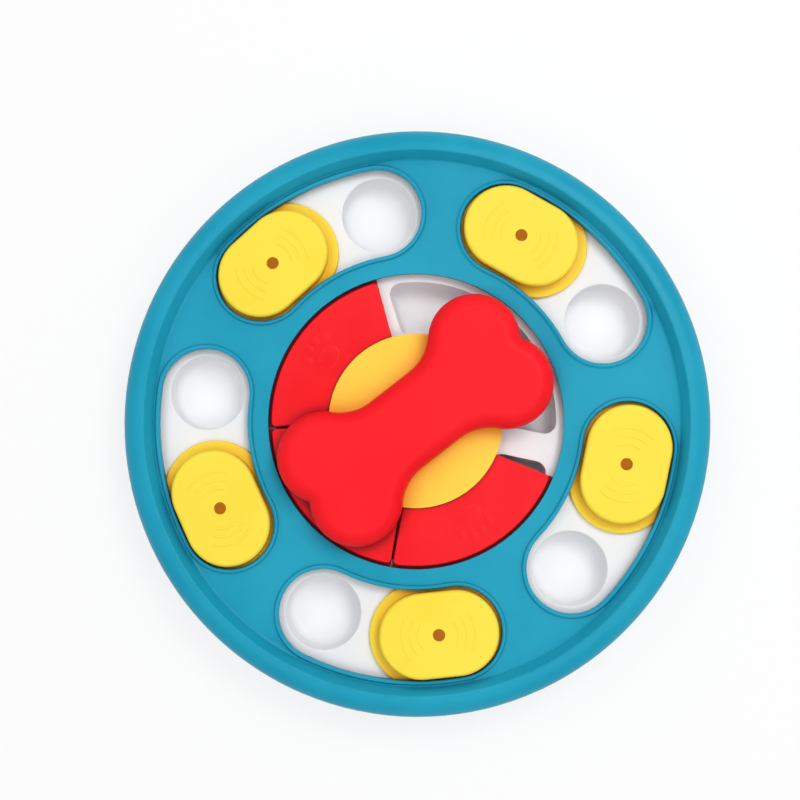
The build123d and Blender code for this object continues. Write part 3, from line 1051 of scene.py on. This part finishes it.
def link_object(name: str, mesh: bpy.types.Mesh) -> bpy.types.Object:
    """Makes an object of a mesh, at the origin, in the scene."""
    made = bpy.data.objects.new(name, mesh)
    bpy.context.scene.collection.objects.link(made)
    return made


def smooth_by_angle(shape: bmesh.types.BMesh, limit: float) -> None:
    """Shades a shape smooth, with sharp edges where its faces meet at more than an angle.

    Args:
        shape: The open mesh.
        limit: The angle in degrees.
    """
    for face in shape.faces:
        face.smooth = True
    for edge in shape.edges:
        edge.smooth = not edge.is_manifold or edge.calc_face_angle(0.0) < radians(limit)


def even_out_normals(item: bpy.types.Object) -> bpy.types.Object:
    """Gives an object normals weighted by face area, as plain mesh data.

    Args:
        item: The object; it is used up.

    Returns:
        The object that takes its place.
    """
    weighting = item.modifiers.new("weighting", "WEIGHTED_NORMAL")
    weighting.keep_sharp = True
    weighting.weight = AREA_WEIGHT
    return make_plain(item)


def make_plain(item: bpy.types.Object) -> bpy.types.Object:
    """Turns an object with modifiers into one with a plain mesh of the same name.

    Args:
        item: The object; it is used up.

    Returns:
        The plain object.
    """
    name = item.name
    graph = bpy.context.evaluated_depsgraph_get()
    mesh = bpy.data.meshes.new_from_object(item.evaluated_get(graph), depsgraph=graph)
    bpy.data.objects.remove(item)
    mesh.name = name
    return link_object(name, mesh)


def run_tree(
    name: str, tree: Tree, sizes: dict[str, object], profile: Sequence[Point] = ()
) -> bpy.types.Object:
    """Runs a geometry node tree and returns its result as a plain, outward-facing mesh.

    Args:
        name: Name of the piece.
        tree: The tree.
        sizes: Input name to value.
        profile: Points (radius, height) that the tree turns, in order, if it turns any.

    Returns:
        The piece.
    """
    blank = bpy.data.meshes.new(name)
    corners = [(radius, 0.0, height) for radius, height in profile]
    blank.from_pydata(corners, [(i, i + 1) for i in range(len(corners) - 1)], [])
    maker = link_object(name, blank)
    modifier = maker.modifiers.new("maker", "NODES")
    modifier.node_group = tree
    for socket in tree.interface.items_tree:
        if socket.item_type == "SOCKET" and socket.in_out == "INPUT" and socket.name in sizes:
            modifier[socket.identifier] = sizes[socket.name]
    piece = make_plain(maker)
    shape = bmesh.new()
    shape.from_mesh(piece.data)
    if shape.calc_volume(signed=True) < 0:
        bmesh.ops.reverse_faces(shape, faces=shape.faces)
    smooth_by_angle(shape, MADE_SHARP_ABOVE)
    shape.to_mesh(piece.data)
    shape.free()
    return piece


def round_corner(
    corner: Point, centre: Point, start: float, turn: float, steps: int = 5
) -> list[Point]:
    """Lists the points of a quarter or so of a circle, for a profile.

    Args:
        corner: Radius of the round in both directions.
        centre: Its middle.
        start: First angle in degrees.
        turn: How far it turns, in degrees.
        steps: How many spans it has.

    Returns:
        The points.
    """
    angles = [radians(start + turn * step / steps) for step in range(steps + 1)]
    return [(centre[0] + corner[0] * cos(a), centre[1] + corner[1] * sin(a)) for a in angles]


# ---- Sub-assemblies -------------------------------------------------------------------------


@dataclass
class MouldedSkin:
    """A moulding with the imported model's shape, its corners shared and its shading smooth."""

    name: str
    nodes: tuple[str, ...]
    body: str
    slot: Slot
    sharp_above: float = 34.0
    relief_above: Optional[float] = None

    def make_mesh(self) -> bpy.types.Mesh:
        """Makes the skin's mesh.

        Returns:
            The mesh, in place.
        """
        shape = bmesh.new()
        for node in self.nodes:
            welded = self.weld(node)
            shape.from_mesh(welded)
            bpy.data.meshes.remove(welded)
        if self.relief_above is not None:
            self.take_relief_off(shape, self.relief_above)
        smooth_by_angle(shape, self.sharp_above)
        mesh = bpy.data.meshes.new(self.name)
        shape.to_mesh(mesh)
        shape.free()
        return mesh

    def weld(self, node: str) -> bpy.types.Mesh:
        """Copies a node's mesh with its corners shared.

        Args:
            node: The node's name.

        Returns:
            The copy.
        """
        piece = bmesh.new()
        piece.from_mesh(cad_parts[node].data)
        bmesh.ops.remove_doubles(piece, verts=piece.verts, dist=WELD_REACH)
        welded = bpy.data.meshes.new(node)
        piece.to_mesh(welded)
        piece.free()
        return welded

    def take_relief_off(self, shape: bmesh.types.BMesh, height: float) -> None:
        """Takes plain raised relief off a flat top, so that a finer one can stand there.

        Args:
            shape: The open mesh.
            height: Height of the flat top.
        """
        raised = {v for v in shape.verts if v.co.z > height + RELIEF_MARGIN}
        faces = [f for f in shape.faces if any(v in raised for v in f.verts)]
        bmesh.ops.delete(shape, geom=faces, context="FACES")
        rims = [e for e in shape.edges if e.is_boundary]
        bmesh.ops.holes_fill(shape, edges=rims, sides=0)

    def build(self, finishes: FinishBook) -> None:
        """Makes the skin, gives it its finish and hangs it on its body.

        Args:
            finishes: The finish book.
        """
        skin = even_out_normals(link_object(self.name, self.make_mesh()))
        skin.data.materials.clear()
        skin.data.materials.append(finishes.get(self.slot))
        hang(skin, self.body, self.nodes)


def hang(piece: bpy.types.Object, body: str, nodes: Sequence[str] = ()) -> None:
    """Makes a piece ride on its body and the nodes that it stands for.

    Args:
        piece: The piece.
        body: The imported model's body.
        nodes: The nodes that the piece replaces.
    """
    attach(piece, body)
    if nodes:
        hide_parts(*nodes)
    log.info("%s rides on %s: %d faces", piece.name, body, len(piece.data.polygons))


@dataclass
class CoverAndTray:
    """The turquoise cover and the white tray with its bowls under it."""

    deck_panels: int = SLOT_COUNT
    compartments: int = LID_COUNT

    def tray_nodes(self) -> tuple[str, ...]:
        """Lists the nodes that make up the one white moulding.

        Returns:
            The nodes' names.
        """
        outer = range(1, self.deck_panels + 1)
        inner = range(1, self.compartments + 1)
        return (
            "tray_rim",
            "tray_hub",
            "centre_bowls",
            *(f"tray_deck_{number}" for number in outer),
            *(f"bowls_{number}" for number in outer),
            *(f"tray_centre_{number}" for number in inner),
        )

    def build(self, finishes: FinishBook) -> None:
        """Builds and dresses both mouldings.

        Args:
            finishes: The finish book.
        """
        skins = (
            MouldedSkin("moulded_cover", ("top_cover",), "base", Slot.COVER),
            MouldedSkin("moulded_tray", self.tray_nodes(), "base", Slot.TRAY),
        )
        for skin in skins:
            skin.build(finishes)


@dataclass
class SlidingButtons:
    """Five buttons with a scent hole and soft ripples on both sides of it."""

    count: int = SLOT_COUNT
    first_heading: float = 60.2
    circle_radius: float = SLOT_RADIUS
    top: float = 32.0 * MM
    ripple_count: int = 3
    ripple_first_radius: float = 8.5 * MM
    ripple_pitch: float = 3.5 * MM
    ripple_sweep: float = 76.0
    ripple_width: float = 1.3 * MM
    ripple_height: float = 0.2 * MM

    def build(self, shed: TreeShed, finishes: FinishBook) -> None:
        """Builds and dresses each button and its ripples.

        Args:
            shed: The geometry node trees.
            finishes: The finish book.
        """
        for number in range(1, self.count + 1):
            body = f"slider_{number}"
            name = f"button_{number}"
            skin = MouldedSkin(name, (body,), body, Slot.BUTTON, relief_above=self.top)
            skin.build(finishes)
            ripples = run_tree(
                f"button_ripples_{number}",
                shed.ripples,
                {
                    "Arcs": self.ripple_count,
                    "First Radius": self.ripple_first_radius,
                    "Pitch": self.ripple_pitch,
                    "Sweep": radians(self.ripple_sweep),
                    "Width": self.ripple_width,
                    "Height": self.ripple_height,
                    "Heading": radians(self.first_heading + SLOT_STEP * (number - 1)),
                    "Circle Radius": self.circle_radius,
                    "Top": self.top,
                    "Finish": finishes.get(Slot.BUTTON),
                },
            )
            hang(ripples, body)


@dataclass
class SectorLids:
    """Three sector lids, each with a soft raised paw print."""

    count: int = LID_COUNT
    middle_heading: float = 221.6
    pitch: float = 77.6
    top: float = 27.5 * MM
    paw_circle: float = 46.0 * MM
    paw_height: float = 0.25 * MM
    pad_half: Point = (4.2 * MM, 5.6 * MM)
    toe_half: Point = (2.5 * MM, 1.9 * MM)
    outer_toes: Triple = (6.2 * MM, 6.4 * MM, 0.0)
    inner_toes: Triple = (9.0 * MM, 2.2 * MM, 0.0)

    def build(self, shed: TreeShed, finishes: FinishBook) -> None:
        """Builds and dresses each lid and its paw print.

        Args:
            shed: The geometry node trees.
            finishes: The finish book.
        """
        for number in range(1, self.count + 1):
            body = f"lid_{number}"
            name = f"sector_lid_{number}"
            skin = MouldedSkin(name, (body,), body, Slot.LID, relief_above=self.top)
            skin.build(finishes)
            paw = run_tree(
                f"paw_print_{number}",
                shed.paw_print,
                {
                    "Pad Half Length": self.pad_half[0],
                    "Pad Half Width": self.pad_half[1],
                    "Toe Half Length": self.toe_half[0],
                    "Toe Half Width": self.toe_half[1],
                    "Outer Toes": self.outer_toes,
                    "Inner Toes": self.inner_toes,
                    "Height": self.paw_height,
                    "Heading": radians(self.middle_heading + self.pitch * (number - 2)),
                    "Circle Radius": self.paw_circle,
                    "Top": self.top,
                    "Finish": finishes.get(Slot.LID),
                },
            )
            hang(paw, body)


@dataclass
class HubAndBone:
    """The yellow dome and the red bone-shaped handle that turns on it."""

    sharp_above: float = 40.0

    def build(self, finishes: FinishBook) -> None:
        """Builds and dresses the dome and the bone.

        Args:
            finishes: The finish book.
        """
        skins = (
            MouldedSkin("domed_hub", ("hub_dome",), "base", Slot.DOME, self.sharp_above),
            MouldedSkin("bone_grip", ("bone_handle",), "bone", Slot.BONE, self.sharp_above),
        )
        for skin in skins:
            skin.build(finishes)


@dataclass
class ScrewSet:
    """A set of pan-head screws, driven upwards, on one circle."""

    name: str
    body: str
    node: str
    seat: float
    copies: int
    circle_radius: float
    first_heading: float
    shank_radius: float = 1.5 * MM
    head_radius: float = 2.9 * MM
    head_height: float = 2.0 * MM
    length: float = 10.0 * MM
    recess_span: float = 3.2 * MM
    recess_width: float = 0.7 * MM
    recess_depth: float = 1.0 * MM
    tip_chamfer: float = 0.5 * MM
    segments: int = 32

    def profile(self) -> list[Point]:
        """Lists the screw's outline from the middle of its head to its tip.

        Returns:
            The outline's points.
        """
        low = self.seat - self.head_height
        edge = self.head_height / 2
        rounded = round_corner((edge, edge), (self.head_radius - edge, low + edge), -90, 90)
        tip, cut = self.seat + self.length, self.tip_chamfer
        shank = [
            (self.head_radius, self.seat),
            (self.shank_radius, self.seat),
            (self.shank_radius, tip - cut),
            (self.shank_radius - cut, tip),
            (0.0, tip),
        ]
        return [(0.0, low), *rounded, *shank]

    def build(self, shed: TreeShed, finishes: FinishBook) -> None:
        """Builds and dresses the screws.

        Args:
            shed: The geometry node trees.
            finishes: The finish book.
        """
        screws = run_tree(
            self.name,
            shed.cross_head_screws,
            {
                "Segments": self.segments,
                "Head Bottom": self.seat - self.head_height,
                "Recess Span": self.recess_span,
                "Recess Width": self.recess_width,
                "Recess Depth": self.recess_depth,
                "Copies": self.copies,
                "Circle Radius": self.circle_radius,
                "First Angle": radians(self.first_heading),
                "Finish": finishes.get(Slot.SCREW),
            },
            self.profile(),
        )
        hang(screws, self.body, (self.node,))


SCREW_SETS = (
    ScrewSet(
        name="cover_fixings",
        body="base",
        node="cover_screws",
        seat=11.0 * MM,
        copies=5,
        circle_radius=107.0 * MM,
        first_heading=82.7,
    ),
    ScrewSet(
        name="hub_fixings",
        body="base",
        node="hub_screws",
        seat=12.0 * MM,
        copies=3,
        circle_radius=20.0 * MM,
        first_heading=108.0,
    ),
    ScrewSet(
        name="stem_fixing",
        body="bone",
        node="pivot_screw",
        seat=7.6 * MM,
        copies=1,
        circle_radius=0.0,
        first_heading=0.0,
    ),
)


@dataclass
class PivotWasher:
    """The washer that holds the bone's stem from below."""

    outer_radius: float = 7.5 * MM
    inner_radius: float = 1.6 * MM
    top: float = 8.8 * MM
    thickness: float = 1.2 * MM
    chamfer: float = 0.15 * MM
    segments: int = 64

    def build(self, shed: TreeShed, finishes: FinishBook) -> None:
        """Builds and dresses the washer.

        Args:
            shed: The geometry node trees.
            finishes: The finish book.
        """
        low, cut = self.top - self.thickness, self.chamfer
        profile = [
            (self.inner_radius, low),
            (self.outer_radius - cut, low),
            (self.outer_radius, low + cut),
            (self.outer_radius, self.top - cut),
            (self.outer_radius - cut, self.top),
            (self.inner_radius, self.top),
            (self.inner_radius, low),
        ]
        sizes = {"Segments": self.segments, "Copies": 1, "Finish": finishes.get(Slot.SCREW)}
        washer = run_tree("stem_washer", shed.turned_parts, sizes, profile)
        hang(washer, "bone", ("pivot_washer",))


@dataclass
class RubberFeet:
    """Five rubber feet with two shallow grip grooves, plugged into their pillars."""

    count: int = SLOT_COUNT
    circle_radius: float = SLOT_RADIUS
    first_heading: float = 46.7
    radius: float = 8.5 * MM
    pad: float = 2.0 * MM
    edge: float = 0.6 * MM
    plug_radius: float = 6.5 * MM
    plug_length: float = 4.0 * MM
    plug_chamfer: float = 0.3 * MM
    groove_radii: Point = (3.0 * MM, 5.6 * MM)
    groove_width: float = 0.9 * MM
    groove_depth: float = 0.35 * MM
    segments: int = 56

    def profile(self) -> list[Point]:
        """Lists the foot's outline from the middle of its underside to the middle of its top.

        Returns:
            The outline's points.
        """
        points: list[Point] = [(0.0, 0.0)]
        half = self.groove_width / 2
        for radius in self.groove_radii:
            points += [
                (radius - half, 0.0),
                (radius - half / 2, self.groove_depth),
                (radius + half / 2, self.groove_depth),
                (radius + half, 0.0),
            ]
        edge_centre = (self.radius - self.edge, self.edge)
        points += round_corner((self.edge, self.edge), edge_centre, -90, 90)
        top, cut = self.pad + self.plug_length, self.plug_chamfer
        return [
            *points,
            (self.radius, self.pad),
            (self.plug_radius, self.pad),
            (self.plug_radius, top - cut),
            (self.plug_radius - cut, top),
            (0.0, top),
        ]

    def build(self, shed: TreeShed, finishes: FinishBook) -> None:
        """Builds and dresses the feet.

        Args:
            shed: The geometry node trees.
            finishes: The finish book.
        """
        sizes = {
            "Segments": self.segments,
            "Copies": self.count,
            "Circle Radius": self.circle_radius,
            "First Angle": radians(self.first_heading),
            "Finish": finishes.get(Slot.FOOT),
        }
        feet = run_tree("rubber_feet", shed.turned_parts, sizes, self.profile())
        hang(feet, "base", tuple(f"foot_{n}" for n in range(1, self.count + 1)))


# ---- Studio ---------------------------------------------------------------------------------


@dataclass
class SoftBox:
    """A square studio lamp aimed at the toy."""

    name: str
    place: Triple
    side: float
    power: float
    colour: Triple = (1.0, 1.0, 1.0)

    def hang_up(self, target: Vector) -> None:
        """Makes the lamp and aims it.

        Args:
            target: The point that it is aimed at.
        """
        lamp = bpy.data.lights.new(self.name, "AREA")
        lamp.shape = "SQUARE"
        lamp.size = self.side
        lamp.energy = self.power
        lamp.color = self.colour
        holder = bpy.data.objects.new(self.name, lamp)
        holder.location = self.place
        holder.rotation_euler = (target - Vector(self.place)).to_track_quat("-Z", "Y").to_euler()
        bpy.context.scene.collection.objects.link(holder)


@dataclass
class Studio:
    """Pale floor, soft lamps, even surroundings and the camera."""

    floor_side: float = 6.0
    floor_colour: Rgb = (250, 250, 250)
    shadow_share: float = 0.25
    sky_strength: float = 0.44
    camera_place: Triple = (10.0 * MM, -23.0 * MM, 624.0 * MM)
    camera_aim: Triple = (-6.75 * MM, 9.0 * MM, 24.5 * MM)
    sensor_width: float = 36.0
    lens: float = 63.2
    nearest: float = 0.01
    farthest: float = 20.0
    lamp_aim: Triple = (0.0, 0.0, 25.0 * MM)
    lamps: tuple[SoftBox, ...] = (
        SoftBox("key_lamp", (0.46, 0.5, 1.3), side=0.6, power=7.2),
        SoftBox("left_lamp", (-0.5, 0.44, 1.3), side=0.6, power=2.2),
        SoftBox("right_lamp", (0.5, -0.44, 1.3), side=0.6, power=2.9),
        SoftBox("front_lamp", (-0.44, -0.5, 1.3), side=0.6, power=1.8),
    )

    def lay_floor(self) -> None:
        """Makes the floor, which shows white to the camera but for a soft part of its shadow."""
        half = self.floor_side / 2
        mesh = bpy.data.meshes.new("studio_floor")
        mesh.from_pydata(
            [(-half, -half, 0.0), (half, -half, 0.0), (half, half, 0.0), (-half, half, 0.0)],
            [],
            [(0, 1, 2, 3)],
        )
        floor = link_object("studio_floor", mesh)
        material = bpy.data.materials.new("studio_floor")
        material.use_nodes = True
        tree = material.node_tree
        tree.nodes.clear()
        paper = place_node(
            tree, "ShaderNodeBsdfDiffuse", {"Color": linear(self.floor_colour), "Roughness": 0.0}
        )
        feeds = {"Color": linear((255, 255, 255)), "Strength": 1.0}
        white = place_node(tree, "ShaderNodeEmission", feeds)
        ray = place_node(tree, "ShaderNodeLightPath").outputs
        seen = compute(tree, "MAXIMUM", ray["Is Camera Ray"], ray["Is Glossy Ray"])
        seen = compute(tree, "MAXIMUM", seen, ray["Is Transmission Ray"])
        share = compute(tree, "MULTIPLY", seen, 1.0 - self.shadow_share)
        mix = place_node(
            tree, "ShaderNodeMixShader", {0: share, 1: paper.outputs[0], 2: white.outputs[0]}
        )
        place_node(tree, "ShaderNodeOutputMaterial", {"Surface": mix.outputs[0]})
        floor.data.materials.append(material)

    def set_surroundings(self) -> None:
        """Lights the scene evenly from all round."""
        world = bpy.data.worlds.new("studio_air")
        world.use_nodes = True
        tree = world.node_tree
        tree.nodes.clear()
        feeds = {"Color": linear((255, 255, 255)), "Strength": self.sky_strength}
        sky = place_node(tree, "ShaderNodeBackground", feeds)
        place_node(tree, "ShaderNodeOutputWorld", {"Surface": sky.outputs[0]})
        bpy.context.scene.world = world

    def set_camera(self) -> None:
        """Places the camera nearly straight above the toy."""
        data = bpy.data.cameras.new("studio_camera")
        data.sensor_width = self.sensor_width
        data.lens = self.lens
        data.clip_start = self.nearest
        data.clip_end = self.farthest
        camera = bpy.data.objects.new("studio_camera", data)
        place = Vector(self.camera_place)
        camera.location = place
        back = (place - Vector(self.camera_aim)).normalized()
        right = Vector((0.0, 1.0, 0.0)).cross(back).normalized()
        axes = Matrix((right, back.cross(right), back)).transposed()
        camera.rotation_euler = axes.to_euler()
        bpy.context.scene.collection.objects.link(camera)
        bpy.context.scene.camera = camera

    def build(self) -> None:
        """Builds the whole studio."""
        bpy.context.scene.view_settings.view_transform = "Standard"
        self.lay_floor()
        self.set_surroundings()
        self.set_camera()
        for lamp in self.lamps:
            lamp.hang_up(Vector(self.lamp_aim))


def main() -> None:
    """Builds the toy and the studio in order."""
    logging.basicConfig(level=logging.INFO, format="%(message)s")
    studio = Studio()
    studio.build()
    finishes = FinishBook()
    shed = TreeShed()
    CoverAndTray().build(finishes)
    SlidingButtons().build(shed, finishes)
    SectorLids().build(shed, finishes)
    HubAndBone().build(finishes)
    for screws in SCREW_SETS:
        screws.build(shed, finishes)
    PivotWasher().build(shed, finishes)
    RubberFeet().build(shed, finishes)


if __name__ == "__main__":
    main()
